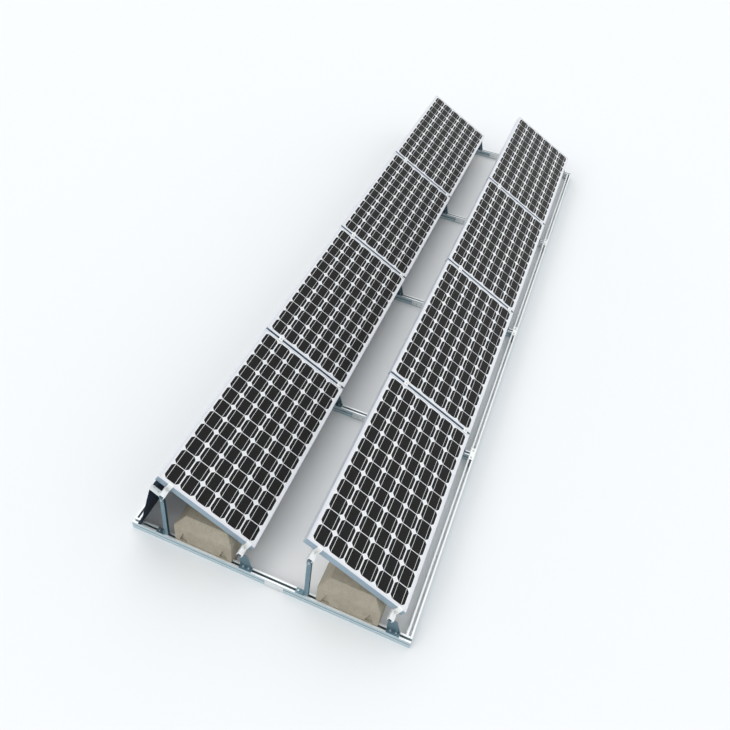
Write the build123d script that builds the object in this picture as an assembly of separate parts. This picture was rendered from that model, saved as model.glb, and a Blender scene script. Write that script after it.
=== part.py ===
from build123d import *

import os
from math import cos, hypot, radians, sin, tan

# A ballasted mount for a flat roof: two tilted rows of framed solar modules on a grid of
# slotted rails, held down by concrete blocks. Nothing is fixed to the roof.
#
# +Z is up and the rows run along Y. The modules' high edges face -X. The origin is on the
# roof surface, in the middle of the rail grid. All lengths are in millimetres.

# ---- Modules -------------------------------------------------------------------------
MODULE_LENGTH = 1580.0
MODULE_WIDTH = 808.0
MODULES_PER_ROW = 4
MODULE_GAP = 20.0

FRAME_DEPTH = 60.0
FRAME_WALL = 2.0
FRAME_LIP = 10.0
FRAME_CHAMBER = 10.0
FRAME_FLANGE = 16.0

LAMINATE_THICKNESS = 5.0
LAMINATE_EDGE_PLAY = 1.0

CELLS_ALONG = 12
CELLS_ACROSS = 6
CELL_GAP_ALONG = 6.0
CELL_GAP_ACROSS = 10.0
CELLS_FROM_SHORT_SIDE = 25.0
CELLS_FROM_LONG_SIDE = 28.0
CELL_THICKNESS = 0.6

JUNCTION_BOX_LENGTH = 150.0
JUNCTION_BOX_WIDTH = 100.0
JUNCTION_BOX_HEIGHT = 24.0
JUNCTION_BOX_FROM_EDGE = 60.0

# ---- Rows ----------------------------------------------------------------------------
ROWS = ("left", "right")
TILT = 28.0
ROW_PITCH = 1080.0
LOW_EDGE_HEIGHT = 290.0

# ---- Rail grid -----------------------------------------------------------------------
RAIL_WIDTH = 44.0
RAIL_HEIGHT = 70.0
RAIL_WALL = 7.0
RAIL_SLOT = 16.0
RAIL_GROOVE_WIDTH = 16.0
RAIL_GROOVE_DEPTH = 2.5
RAIL_BEYOND_HIGH_EDGE = 227.0
RAIL_BEYOND_LOW_EDGE = 88.0
END_RAIL_OFFSET = 45.0

SPLICE_LENGTH = 140.0
SPLICE_HEIGHT = 54.0
SPLICE_THICKNESS = 3.0

JOINT_PLATE_LENGTH = 120.0
JOINT_PLATE_WIDTH = 38.0
JOINT_PLATE_THICKNESS = 4.0
JOINT_BOLT_FROM_END = 24.0

ANGLE_LEG = 60.0
ANGLE_HEIGHT = 54.0
ANGLE_THICKNESS = 4.0

# ---- Module supports -----------------------------------------------------------------
REAR_SEAT_AT_ENDS = 105.0
REAR_SEAT_INSIDE = 150.0
FRONT_SEAT_FROM_LOW_EDGE = 48.0
SEAT_WIDTH = 40.0
SEAT_HEIGHT = 30.0
SEAT_WALL = 5.0
SEAT_LENGTH = 102.0
SEAT_BEYOND_RAIL_CENTRE = 22.0

PLATE = 4.0
BRACKET_WIDTH = 40.0

POST_WIDTH = 32.0
POST_DEPTH = 22.0
POST_WALL = 2.5
POST_TOP_CLEARANCE = 3.0
POST_BASE_HEIGHT = 52.0
POST_BASE_REACH = 62.0
POST_BOLT_REACH = 44.0
HEAD_OVERLAP = 46.0

FOOT_WEB = 3.0
FOOT_WEB_FROM_BOLTS = 0.2
FOOT_BASE_INNER = 2.0
FOOT_BASE_LENGTH = 92.0
FOOT_BOLT_FROM_END = 26.0
FOOT_TIP_BEYOND_MODULE = 14.0

# ---- Clamps and bolts ----------------------------------------------------------------
CLAMP_WIDTH = 36.0
CLAMP_THICKNESS = 4.0
CLAMP_GRIP = 11.0
END_CLAMP_FOOT = 26.0
CLAMP_RIB_AT_FOOT = 14.0
CLAMP_RIB_AT_LIP = 5.0
CLAMP_PLAY = 0.3

CLAMP_BOLT = 8.0
CLAMP_BOLT_HOLE_PLAY = 1.0

HEX_ACROSS_FLATS = 13.0
HEX_HEIGHT = 6.5

# ---- Ballast -------------------------------------------------------------------------
BLOCK_FROM_HIGH_EDGE = 121.0
BLOCK_WIDTH = 444.0
BLOCK_DEPTH = 290.0
BLOCK_HEIGHT = 308.0
BLOCK_CHAMFER = 62.0
BLOCK_ON_RAIL = 30.0
BLOCK_REBATE_PLAY = 0.3
GRIP_NOTCH_WIDTH = 62.0
GRIP_NOTCH_HEIGHT = 96.0
GRIP_NOTCH_DEPTH = 14.0
GRIP_NOTCH_FROM_SIDE = 66.0
GRIP_NOTCH_ABOVE_RAIL = 14.0

# ---- Wind deflector ------------------------------------------------------------------
ARM_LEDGE = 34.0
ARM_THICKNESS = 5.0
ARM_BEYOND_FOLD = 9.0
ARM_FROM_SEAT = 1.0
DEFLECTOR_THICKNESS = 1.5
DEFLECTOR_FOLD = 13.0
DEFLECTOR_TOP_FLANGE = 28.0
DEFLECTOR_FOOT_FLANGE = 24.0
DEFLECTOR_FOOT_FROM_HIGH_EDGE = 157.0
DEFLECTOR_JOINT_GAP = 9.0

# ---- Places worked out from the sizes above --------------------------------------------
SLOPE = radians(TILT)
CELL_LENGTH = (MODULE_LENGTH - 2 * CELLS_FROM_SHORT_SIDE + CELL_GAP_ALONG) / CELLS_ALONG - CELL_GAP_ALONG
CELL_WIDTH = (MODULE_WIDTH - 2 * CELLS_FROM_LONG_SIDE + CELL_GAP_ACROSS) / CELLS_ACROSS - CELL_GAP_ACROSS
FRONT_SEAT = MODULE_WIDTH - FRONT_SEAT_FROM_LOW_EDGE
MODULE_RUN = MODULE_WIDTH * cos(SLOPE)
HIGH_EDGE_HEIGHT = LOW_EDGE_HEIGHT + MODULE_WIDTH * sin(SLOPE)
MODULE_PITCH = MODULE_LENGTH + MODULE_GAP
ROW_LENGTH = MODULES_PER_ROW * MODULE_PITCH - MODULE_GAP

GRID_WIDTH = RAIL_BEYOND_HIGH_EDGE + ROW_PITCH + MODULE_RUN + RAIL_BEYOND_LOW_EDGE
HIGH_EDGE_X = {
    row: RAIL_BEYOND_HIGH_EDGE - GRID_WIDTH / 2 + index * ROW_PITCH for index, row in enumerate(ROWS)
}
SPLICE_X = (HIGH_EDGE_X["left"] + MODULE_RUN + HIGH_EDGE_X["right"]) / 2

END_RAIL_Y = ROW_LENGTH / 2 + END_RAIL_OFFSET
INNER_RAIL_YS = [
    index * MODULE_PITCH - MODULE_GAP / 2 - ROW_LENGTH / 2 for index in range(1, MODULES_PER_ROW)
]
RAIL_YS = [-END_RAIL_Y] + INNER_RAIL_YS + [END_RAIL_Y]
MODULE_YS = [
    (index - (MODULES_PER_ROW - 1) / 2) * MODULE_PITCH for index in range(MODULES_PER_ROW)
]

SEAT_BOTTOM = -(FRAME_DEPTH + SEAT_HEIGHT)
BRACKET_BOTTOM = SEAT_BOTTOM - PLATE


# ---- Shared helpers --------------------------------------------------------------------
def group(shapes):
    """One sub-part made of several separate solids."""
    return Compound(children=[solid for shape in shapes for solid in shape.solids()])


def prism(points, plane, length):
    """A straight bar of the given section, drawn on the plane and pushed along its normal."""
    section = plane * make_face(Polyline(*points, close=True))
    return extrude(section, amount=length, dir=plane.z_dir)


def folded(points, thickness):
    """The section of a folded plate: a path and its copy offset to the left of the path."""
    normals = []
    for (x0, y0), (x1, y1) in zip(points, points[1:]):
        run = hypot(x1 - x0, y1 - y0)
        normals.append(((y0 - y1) / run, (x1 - x0) / run))
    far_side = []
    for index, (x, y) in enumerate(points):
        before = normals[max(index - 1, 0)]
        after = normals[min(index, len(normals) - 1)]
        share = 1 + before[0] * after[0] + before[1] * after[1]
        far_side.append((
            x + thickness * (before[0] + after[0]) / share,
            y + thickness * (before[1] + after[1]) / share,
        ))
    return list(points) + far_side[::-1]


def plane_along_x(x, y, z):
    """A plane facing +X, with its first axis along +Y and its second up."""
    return Plane(origin=(x, y, z), x_dir=(0, 1, 0), z_dir=(1, 0, 0))


def plane_along_y(x, y, z):
    """A plane facing -Y, with its first axis along +X and its second up."""
    return Plane(origin=(x, y, z), x_dir=(1, 0, 0), z_dir=(0, -1, 0))


def module_plane(row, y):
    """On a module's face at the high edge: X runs down the slope and Z is square to the face."""
    return Plane(
        origin=(HIGH_EDGE_X[row], y, HIGH_EDGE_HEIGHT),
        x_dir=(cos(SLOPE), 0, -sin(SLOPE)),
        z_dir=(sin(SLOPE), 0, cos(SLOPE)),
    )


def in_side_view(row, down_slope, above_face):
    """A point of a row's slope, as X measured from the high edge and height above the roof."""
    x = down_slope * cos(SLOPE) + above_face * sin(SLOPE)
    z = HIGH_EDGE_HEIGHT - down_slope * sin(SLOPE) + above_face * cos(SLOPE)
    return (HIGH_EDGE_X[row] + x, z)


def slab(size_x, size_y, size_z, x, y, bottom):
    """A block centred on x and y, standing on the height called bottom."""
    return Pos(x, y, bottom) * Box(
        size_x, size_y, size_z, align=(Align.CENTER, Align.CENTER, Align.MIN)
    )


def hex_head(x, y, bottom):
    """A hexagon bolt head, corners pointing along X."""
    hexagon = RegularPolygon(HEX_ACROSS_FLATS / 2, 6, major_radius=False)
    return extrude(Pos(x, y, bottom) * hexagon, amount=HEX_HEIGHT)


# ---- Modules -------------------------------------------------------------------------
def frame_section():
    """Aluminium frame section, with its closed chamber solid: inward from the outer edge, and down."""
    slot_top = -FRAME_WALL
    slot_bottom = slot_top - LAMINATE_THICKNESS
    flange_top = FRAME_WALL - FRAME_DEPTH
    return [
        (0, 0), (FRAME_LIP, 0), (FRAME_LIP, slot_top), (FRAME_WALL, slot_top),
        (FRAME_WALL, slot_bottom), (FRAME_CHAMBER, slot_bottom), (FRAME_CHAMBER, flange_top),
        (FRAME_FLANGE, flange_top), (FRAME_FLANGE, -FRAME_DEPTH), (0, -FRAME_DEPTH),
    ]


def frame_bar(start, inward, length):
    """One side of the frame, mitred at both ends."""
    inward = Vector(*inward)
    start = Vector(*start)
    run = inward.cross(Vector(0, 0, 1))
    bar = prism(frame_section(), Plane(origin=start, x_dir=inward, z_dir=run), length)
    bar = split(bar, bisect_by=Plane(origin=start, z_dir=run - inward), keep=Keep.TOP)
    end = start + run * length
    return split(bar, bisect_by=Plane(origin=end, z_dir=-run - inward), keep=Keep.TOP)


def module_frame():
    half = MODULE_LENGTH / 2
    return [
        frame_bar((0, half, 0), (1, 0, 0), MODULE_LENGTH),
        frame_bar((0, -half, 0), (0, 1, 0), MODULE_WIDTH),
        frame_bar((MODULE_WIDTH, -half, 0), (-1, 0, 0), MODULE_LENGTH),
        frame_bar((MODULE_WIDTH, half, 0), (0, -1, 0), MODULE_WIDTH),
    ]


def module_laminate():
    """Glass, cells' bedding and white backsheet, bonded into one plate held in the frame's slot."""
    hidden = 2 * (FRAME_WALL + LAMINATE_EDGE_PLAY)
    bottom = -FRAME_WALL - LAMINATE_THICKNESS
    return slab(
        MODULE_WIDTH - hidden, MODULE_LENGTH - hidden, LAMINATE_THICKNESS, MODULE_WIDTH / 2, 0, bottom
    )


def module_cells():
    """Silicon wafers in rows and columns on the laminate."""
    across = CELL_WIDTH + CELL_GAP_ACROSS
    along = CELL_LENGTH + CELL_GAP_ALONG
    places = GridLocations(across, along, CELLS_ACROSS, CELLS_ALONG)
    centre = Pos(MODULE_WIDTH / 2, 0, 0)
    return [
        centre * place * slab(CELL_WIDTH, CELL_LENGTH, CELL_THICKNESS, 0, 0, -FRAME_WALL)
        for place in places
    ]


def junction_box():
    """Moulded box bonded under the laminate near the high edge."""
    bottom = -FRAME_WALL - LAMINATE_THICKNESS - JUNCTION_BOX_HEIGHT
    centre_x = JUNCTION_BOX_FROM_EDGE + JUNCTION_BOX_WIDTH / 2
    return slab(JUNCTION_BOX_WIDTH, JUNCTION_BOX_LENGTH, JUNCTION_BOX_HEIGHT, centre_x, 0, bottom)


# ---- Rails ---------------------------------------------------------------------------
def rail_section():
    """Channel with in-turned lips beside its top slot, and a shallow groove in each side."""
    side = RAIL_WIDTH / 2
    inside = side - RAIL_WALL
    slot = RAIL_SLOT / 2
    groove_top = (RAIL_HEIGHT + RAIL_GROOVE_WIDTH) / 2
    groove_bottom = (RAIL_HEIGHT - RAIL_GROOVE_WIDTH) / 2
    right = [
        (side, 0), (side, groove_bottom), (side - RAIL_GROOVE_DEPTH, groove_bottom),
        (side - RAIL_GROOVE_DEPTH, groove_top), (side, groove_top), (side, RAIL_HEIGHT),
        (slot, RAIL_HEIGHT), (slot, RAIL_HEIGHT - RAIL_WALL),
        (inside, RAIL_HEIGHT - RAIL_WALL), (inside, RAIL_WALL),
    ]
    left = [(-x, z) for x, z in reversed(right)]
    return right + left


def rail_along_x(x_from, x_to, y):
    return prism(rail_section(), plane_along_x(x_from, y, 0), x_to - x_from)


def cross_rail(y):
    """Two lengths of rail that meet end to end between the rows."""
    reach = GRID_WIDTH / 2
    if y in INNER_RAIL_YS:
        reach = GRID_WIDTH / 2 - RAIL_WIDTH
    return [rail_along_x(-reach, SPLICE_X, y), rail_along_x(SPLICE_X, reach, y)]


def side_rail(side, end):
    """One length of rail along the rows, from the middle cross rail's line to an end rail."""
    x = side * (GRID_WIDTH - RAIL_WIDTH) / 2
    reach = END_RAIL_Y - RAIL_WIDTH / 2
    start = reach if end > 0 else 0
    return prism(rail_section(), plane_along_y(x, start, 0), reach)


def splice_plates():
    """Flat plates on both sides of each cross rail, over the joint of its two lengths."""
    bottom = (RAIL_HEIGHT - SPLICE_HEIGHT) / 2
    offset = (RAIL_WIDTH + SPLICE_THICKNESS) / 2
    return [
        slab(SPLICE_LENGTH, SPLICE_THICKNESS, SPLICE_HEIGHT, SPLICE_X, y + side * offset, bottom)
        for y in RAIL_YS for side in (-1, 1)
    ]


def joint_plates():
    """Flat plates on top of the side rails, where the inner cross rails butt against them."""
    x = (GRID_WIDTH - RAIL_WIDTH) / 2
    return [
        slab(JOINT_PLATE_WIDTH, JOINT_PLATE_LENGTH, JOINT_PLATE_THICKNESS, side * x, y, RAIL_HEIGHT)
        for side in (-1, 1) for y in INNER_RAIL_YS
    ]


def corner_angles():
    """Upright angles in the corners between cross rails and side rails."""
    angles = []
    corner_x = GRID_WIDTH / 2 - RAIL_WIDTH
    bottom = (RAIL_HEIGHT - ANGLE_HEIGHT) / 2
    for side in (-1, 1):
        for y in RAIL_YS:
            along = -1 if y > 0 else 1
            section = folded([(ANGLE_LEG, 0), (0, 0), (0, ANGLE_LEG)], -ANGLE_THICKNESS)
            placed = [(side * (corner_x - a), y + along * (RAIL_WIDTH / 2 + b)) for a, b in section]
            angles.append(prism(placed, Plane(origin=(0, 0, bottom)), ANGLE_HEIGHT))
    return angles


# ---- Module supports -----------------------------------------------------------------
def outward(y):
    """-1 at the front end rail, 1 at the back end rail and 0 at the inner ones."""
    if y in INNER_RAIL_YS:
        return 0
    return -1 if y < 0 else 1


def rear_seat_place(y):
    return REAR_SEAT_AT_ENDS if outward(y) else REAR_SEAT_INSIDE


def seat(row, y, place):
    """Inverted channel under the module frames, crossing the gap between two modules."""
    half = SEAT_WIDTH / 2
    section = folded(
        [(half, SEAT_BOTTOM), (half, -FRAME_DEPTH), (-half, -FRAME_DEPTH), (-half, SEAT_BOTTOM)], SEAT_WALL
    )
    middle = -outward(y) * (SEAT_LENGTH / 2 - SEAT_BEYOND_RAIL_CENTRE)
    far_end = middle + SEAT_LENGTH / 2
    channel = prism(section, plane_along_y(place, far_end, 0), SEAT_LENGTH)
    return module_plane(row, y).location * channel


def post_x(row, y):
    """The post stands under the middle of its seat."""
    return in_side_view(row, rear_seat_place(y), BRACKET_BOTTOM)[0]


def post_top(row, y):
    under_bracket = in_side_view(row, rear_seat_place(y), BRACKET_BOTTOM)[1]
    return under_bracket - POST_WIDTH / 2 * tan(SLOPE) - POST_TOP_CLEARANCE


def post_base(row, y):
    """Angle bolted to the rail beside the post, with an upright that the post is bolted to."""
    left = -POST_WIDTH / 2
    base = folded([(left - POST_BASE_REACH, 0), (left, 0), (left, POST_BASE_HEIGHT)], PLATE)
    plane = plane_along_y(post_x(row, y), y + BRACKET_WIDTH / 2, RAIL_HEIGHT)
    return prism(base, plane, BRACKET_WIDTH)


def rear_post(row, y):
    """Upright channel, open towards the low edge."""
    half_width = POST_WIDTH / 2
    half_depth = POST_DEPTH / 2
    section = folded(
        [
            (half_width, -half_depth), (-half_width, -half_depth),
            (-half_width, half_depth), (half_width, half_depth),
        ],
        -POST_WALL,
    )
    plane = Plane(origin=(post_x(row, y), y, RAIL_HEIGHT))
    return prism(section, plane, post_top(row, y) - RAIL_HEIGHT)


def post_head(row, y):
    """Bracket on the post's outer face. Its flange carries the seat, and the left row's arm."""
    place = rear_seat_place(y)
    half = POST_WIDTH / 2
    x = post_x(row, y)
    low = post_top(row, y) - HEAD_OVERLAP
    under = in_side_view(row, place, BRACKET_BOTTOM + PLATE / 2)[1]
    rise = half * tan(SLOPE)
    outline = [(x - half, low), (x + half, low), (x + half, under - rise), (x - half, under + rise)]
    face_y = y - POST_DEPTH / 2
    leg = prism(outline, plane_along_y(0, face_y, 0), PLATE)
    ledge = ARM_LEDGE if row == "left" else 0
    flange = slab(SEAT_WIDTH + ledge, BRACKET_WIDTH, PLATE, place - ledge / 2, 0, BRACKET_BOTTOM)
    return leg + module_plane(row, y).location * flange


def foot_web_y(y):
    """The web stands just behind the bolts of the foot."""
    return y + HEX_ACROSS_FLATS / 2 + FOOT_WEB_FROM_BOLTS + FOOT_WEB


def foot_inner_x(row):
    return in_side_view(row, FRONT_SEAT, BRACKET_BOTTOM)[0] - FOOT_BASE_INNER


def front_foot(row, y):
    """Base plate, upright web that reaches past the low edge, and a flange under the seat."""
    half = SEAT_WIDTH / 2
    inner = foot_inner_x(row)
    outer = inner + FOOT_BASE_LENGTH
    base_top = RAIL_HEIGHT + PLATE / 2
    flange_middle = BRACKET_BOTTOM + PLATE / 2
    upper = in_side_view(row, FRONT_SEAT - half, flange_middle)
    tip = in_side_view(row, MODULE_WIDTH + FOOT_TIP_BEYOND_MODULE, flange_middle)
    outline = [(inner, base_top), (outer, base_top), tip, upper]
    web = prism(outline, plane_along_y(0, foot_web_y(y), 0), FOOT_WEB)
    base = slab(FOOT_BASE_LENGTH, BRACKET_WIDTH, PLATE, (inner + outer) / 2, y, RAIL_HEIGHT)
    flange = slab(SEAT_WIDTH, BRACKET_WIDTH, PLATE, FRONT_SEAT, 0, BRACKET_BOTTOM)
    return base + web + module_plane(row, y).location * flange


# ---- Clamps and bolts ----------------------------------------------------------------
def clamp_bolt_offset(y):
    """Along Y from the rail's centre to the clamp's bolt: past the module's end at the end rails."""
    end = outward(y)
    if end == 0:
        return 0
    return -end * (END_RAIL_OFFSET - CLAMP_PLAY - CLAMP_THICKNESS - END_CLAMP_FOOT / 2)


def clamp_places(y):
    return (rear_seat_place(y), FRONT_SEAT)


def bolt_hole(place, offset, bottom):
    """Square hole through a clamp, for the square neck of its bolt."""
    side = CLAMP_BOLT + CLAMP_BOLT_HOLE_PLAY
    return slab(side, side, CLAMP_THICKNESS, place, offset, bottom)


def mid_clamp(row, y, place):
    """Square plate over the lips of two neighbouring frames."""
    length = MODULE_GAP + 2 * CLAMP_GRIP
    plate = slab(CLAMP_WIDTH, length, CLAMP_THICKNESS, place, 0, 0)
    return module_plane(row, y).location * (plate - bolt_hole(place, 0, 0))


def end_clamp(row, y, place):
    """Clamp with a lip over the frame, a web down its end face, two side ribs and a foot."""
    end = outward(y)
    face = END_RAIL_OFFSET - CLAMP_PLAY
    back = face - CLAMP_THICKNESS
    toe = back - END_CLAMP_FOOT
    outline = [
        (face + CLAMP_GRIP, 0), (face, 0), (face, -FRAME_DEPTH), (toe, -FRAME_DEPTH),
        (toe, CLAMP_THICKNESS - FRAME_DEPTH), (back, CLAMP_THICKNESS - FRAME_DEPTH),
        (back, CLAMP_THICKNESS), (face + CLAMP_GRIP, CLAMP_THICKNESS),
    ]
    rib = [
        (back, CLAMP_THICKNESS - FRAME_DEPTH), (back - CLAMP_RIB_AT_FOOT, CLAMP_THICKNESS - FRAME_DEPTH),
        (back - CLAMP_RIB_AT_LIP, CLAMP_THICKNESS), (back, CLAMP_THICKNESS),
    ]
    mirrored = [(-end * a, b) for a, b in outline]
    body = prism(mirrored, plane_along_x(place - CLAMP_WIDTH / 2, 0, 0), CLAMP_WIDTH)
    mirrored_rib = [(-end * a, b) for a, b in rib]
    for x in (place - CLAMP_WIDTH / 2, place + CLAMP_WIDTH / 2 - CLAMP_THICKNESS):
        body += prism(mirrored_rib, plane_along_x(x, 0, 0), CLAMP_THICKNESS)
    hole = bolt_hole(place, clamp_bolt_offset(y), -FRAME_DEPTH)
    return module_plane(row, y).location * (body - hole)


def clamp_bolt(row, y, place):
    """Bolt from the clamp down to the seat, which it is screwed into."""
    top = CLAMP_THICKNESS
    if outward(y):
        top = CLAMP_THICKNESS - FRAME_DEPTH
    offset = clamp_bolt_offset(y)
    shank = slab(CLAMP_BOLT, CLAMP_BOLT, top + FRAME_DEPTH, place, offset, -FRAME_DEPTH)
    return module_plane(row, y).location * (shank + hex_head(place, offset, top))


def joint_plate_bolts():
    """Two bolts in each joint plate."""
    x = (GRID_WIDTH - RAIL_WIDTH) / 2
    reach = JOINT_PLATE_LENGTH / 2 - JOINT_BOLT_FROM_END
    top = RAIL_HEIGHT + JOINT_PLATE_THICKNESS
    return [
        hex_head(side * x, y + offset, top)
        for side in (-1, 1) for y in INNER_RAIL_YS for offset in (-reach, reach)
    ]


def support_bolts():
    """Bolts that hold the post bases and feet down on the cross rails."""
    heads = []
    top = RAIL_HEIGHT + PLATE
    for row in ROWS:
        for y in RAIL_YS:
            inner = foot_inner_x(row)
            heads.append(hex_head(post_x(row, y) - POST_WIDTH / 2 - POST_BOLT_REACH, y, top))
            heads.append(hex_head(inner + FOOT_BOLT_FROM_END, y, top))
            heads.append(hex_head(inner + FOOT_BASE_LENGTH - FOOT_BOLT_FROM_END, y, top))
    return heads


def post_bolts():
    """Bolts through the post heads, their heads on the outer face."""
    heads = []
    for row in ROWS:
        for y in RAIL_YS:
            turned = Rot(90, 0, 0) * hex_head(0, 0, 0)
            face_y = y - POST_DEPTH / 2 - PLATE
            level = post_top(row, y) - HEAD_OVERLAP / 2
            heads.append(Pos(post_x(row, y), face_y, level) * turned)
    return heads


# ---- Ballast -------------------------------------------------------------------------
def grip_notch(x, face_y):
    """A V-shaped hand grip to cut in a block's upright face."""
    bottom = RAIL_HEIGHT + GRIP_NOTCH_ABOVE_RAIL
    half = GRIP_NOTCH_WIDTH / 2
    outline = [(x, bottom + GRIP_NOTCH_HEIGHT), (x - half, bottom), (x + half, bottom)]
    return prism(outline, plane_along_y(0, face_y + GRIP_NOTCH_DEPTH, 0), 2 * GRIP_NOTCH_DEPTH)


def ballast_block(row, y):
    """Cast block with broad chamfers. It stands on the roof and laps over its cross rail."""
    end = outward(y)
    centre_x = HIGH_EDGE_X[row] + BLOCK_FROM_HIGH_EDGE + BLOCK_WIDTH / 2
    centre_y = y - end * (BLOCK_DEPTH / 2 - BLOCK_ON_RAIL + RAIL_WIDTH / 2)
    block = slab(BLOCK_WIDTH, BLOCK_DEPTH, BLOCK_HEIGHT, centre_x, centre_y, 0)
    block = chamfer(block.faces().sort_by(Axis.Z)[-1].edges(), BLOCK_CHAMFER)
    rail_room = slab(
        2 * BLOCK_WIDTH, RAIL_WIDTH + 2 * BLOCK_REBATE_PLAY, RAIL_HEIGHT + BLOCK_REBATE_PLAY, centre_x, y, 0
    )
    block -= rail_room
    face_y = centre_y + (1 if end > 0 else -1) * BLOCK_DEPTH / 2
    for side in (-1, 1):
        block -= grip_notch(centre_x + side * (BLOCK_WIDTH / 2 - GRIP_NOTCH_FROM_SIDE), face_y)
    return block


# ---- Wind deflector ------------------------------------------------------------------
def deflector_arm(y):
    """Flat bar from the ledge of the post head out to the top of the deflector."""
    tip = DEFLECTOR_FOLD - ARM_BEYOND_FOLD
    inner_end = rear_seat_place(y) - SEAT_WIDTH / 2 - ARM_FROM_SEAT
    length = inner_end - tip
    bar = slab(length, BRACKET_WIDTH, ARM_THICKNESS, tip + length / 2, 0, SEAT_BOTTOM)
    return module_plane("left", y).location * bar


def wind_deflector(index):
    """Folded sheet behind the first row, over one bay of the rail grid and under the arms."""
    y_from = RAIL_YS[index] + DEFLECTOR_JOINT_GAP / 2
    y_to = RAIL_YS[index + 1] - DEFLECTOR_JOINT_GAP / 2
    if index == 0:
        y_from = RAIL_YS[index] - BRACKET_WIDTH / 2
    if index == MODULES_PER_ROW - 1:
        y_to = RAIL_YS[index + 1] + BRACKET_WIDTH / 2
    foot_x = HIGH_EDGE_X["left"] - DEFLECTOR_FOOT_FROM_HIGH_EDGE
    fold_level = SEAT_BOTTOM - DEFLECTOR_THICKNESS
    path = [
        in_side_view("left", DEFLECTOR_FOLD + DEFLECTOR_TOP_FLANGE, fold_level),
        in_side_view("left", DEFLECTOR_FOLD, fold_level),
        (foot_x, RAIL_HEIGHT),
        (foot_x - DEFLECTOR_FOOT_FLANGE, RAIL_HEIGHT),
    ]
    section = folded(path, -DEFLECTOR_THICKNESS)
    return prism(section, plane_along_y(0, y_to, 0), y_to - y_from)


# ---- Assembly ------------------------------------------------------------------------
def build():
    nodes = {}
    frame = module_frame()
    laminate = module_laminate()
    cells = module_cells()
    box = junction_box()
    boxes = []
    for row in ROWS:
        for number, y in enumerate(MODULE_YS, start=1):
            place = module_plane(row, y).location
            nodes[f"module_frame_{row}_{number}"] = [place * bar for bar in frame]
            nodes[f"module_laminate_{row}_{number}"] = [place * laminate]
            nodes[f"module_cells_{row}_{number}"] = [place * cell for cell in cells]
            boxes.append(place * box)
    nodes["junction_boxes"] = boxes

    for number, y in enumerate(RAIL_YS, start=1):
        nodes[f"cross_rail_{number}"] = cross_rail(y)
    for number, end in enumerate((-1, 1), start=1):
        nodes[f"side_rail_left_{number}"] = [side_rail(-1, end)]
        nodes[f"side_rail_right_{number}"] = [side_rail(1, end)]
    nodes["splice_plates"] = splice_plates()
    nodes["joint_plates"] = joint_plates()
    nodes["corner_angles"] = corner_angles()

    supports = [(row, y) for row in ROWS for y in RAIL_YS]
    clamps = [(row, y, place) for row, y in supports for place in clamp_places(y)]
    nodes["post_bases"] = [post_base(row, y) for row, y in supports]
    nodes["post_heads"] = [post_head(row, y) for row, y in supports]
    nodes["rear_seats"] = [seat(row, y, rear_seat_place(y)) for row, y in supports]
    nodes["front_seats"] = [seat(row, y, FRONT_SEAT) for row, y in supports]
    for row in ROWS:
        nodes[f"rear_posts_{row}"] = [rear_post(row, y) for y in RAIL_YS]
        nodes[f"front_feet_{row}"] = [front_foot(row, y) for y in RAIL_YS]
        nodes[f"ballast_blocks_{row}"] = [ballast_block(row, y) for y in RAIL_YS]

    nodes["mid_clamps"] = [mid_clamp(row, y, place) for row, y, place in clamps if outward(y) == 0]
    nodes["end_clamps"] = [end_clamp(row, y, place) for row, y, place in clamps if outward(y)]
    nodes["clamp_bolts"] = [clamp_bolt(row, y, place) for row, y, place in clamps]
    nodes["joint_plate_bolts"] = joint_plate_bolts()
    nodes["support_bolts"] = support_bolts()
    nodes["post_bolts"] = post_bolts()

    for index in range(MODULES_PER_ROW):
        nodes[f"wind_deflector_{index + 1}"] = [wind_deflector(index)]
    nodes["deflector_arms"] = [deflector_arm(y) for y in RAIL_YS]
    return nodes


os.makedirs("parts", exist_ok=True)
for name, shapes in build().items():
    export_step(group(shapes), f"parts/{name}.step")
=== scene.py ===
import math

import bmesh
import bpy
from mathutils import Matrix, Vector


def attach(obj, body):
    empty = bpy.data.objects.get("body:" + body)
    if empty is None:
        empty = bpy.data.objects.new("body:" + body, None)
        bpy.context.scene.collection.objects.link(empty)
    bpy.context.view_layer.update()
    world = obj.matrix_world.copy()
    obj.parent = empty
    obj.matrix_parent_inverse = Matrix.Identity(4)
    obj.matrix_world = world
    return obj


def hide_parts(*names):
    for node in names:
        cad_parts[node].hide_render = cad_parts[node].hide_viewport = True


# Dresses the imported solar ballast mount. +Z is up, the rows run along Y and the modules'
# high edges face -X. All lengths are in metres.

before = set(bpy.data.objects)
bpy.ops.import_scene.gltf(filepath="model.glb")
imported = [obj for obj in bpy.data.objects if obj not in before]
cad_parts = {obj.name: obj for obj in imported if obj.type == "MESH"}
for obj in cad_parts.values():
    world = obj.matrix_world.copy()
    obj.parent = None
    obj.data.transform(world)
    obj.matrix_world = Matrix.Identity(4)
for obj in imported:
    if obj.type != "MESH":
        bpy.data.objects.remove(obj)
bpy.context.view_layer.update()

ROWS = ("left", "right")
MODULES = range(1, 5)

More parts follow.
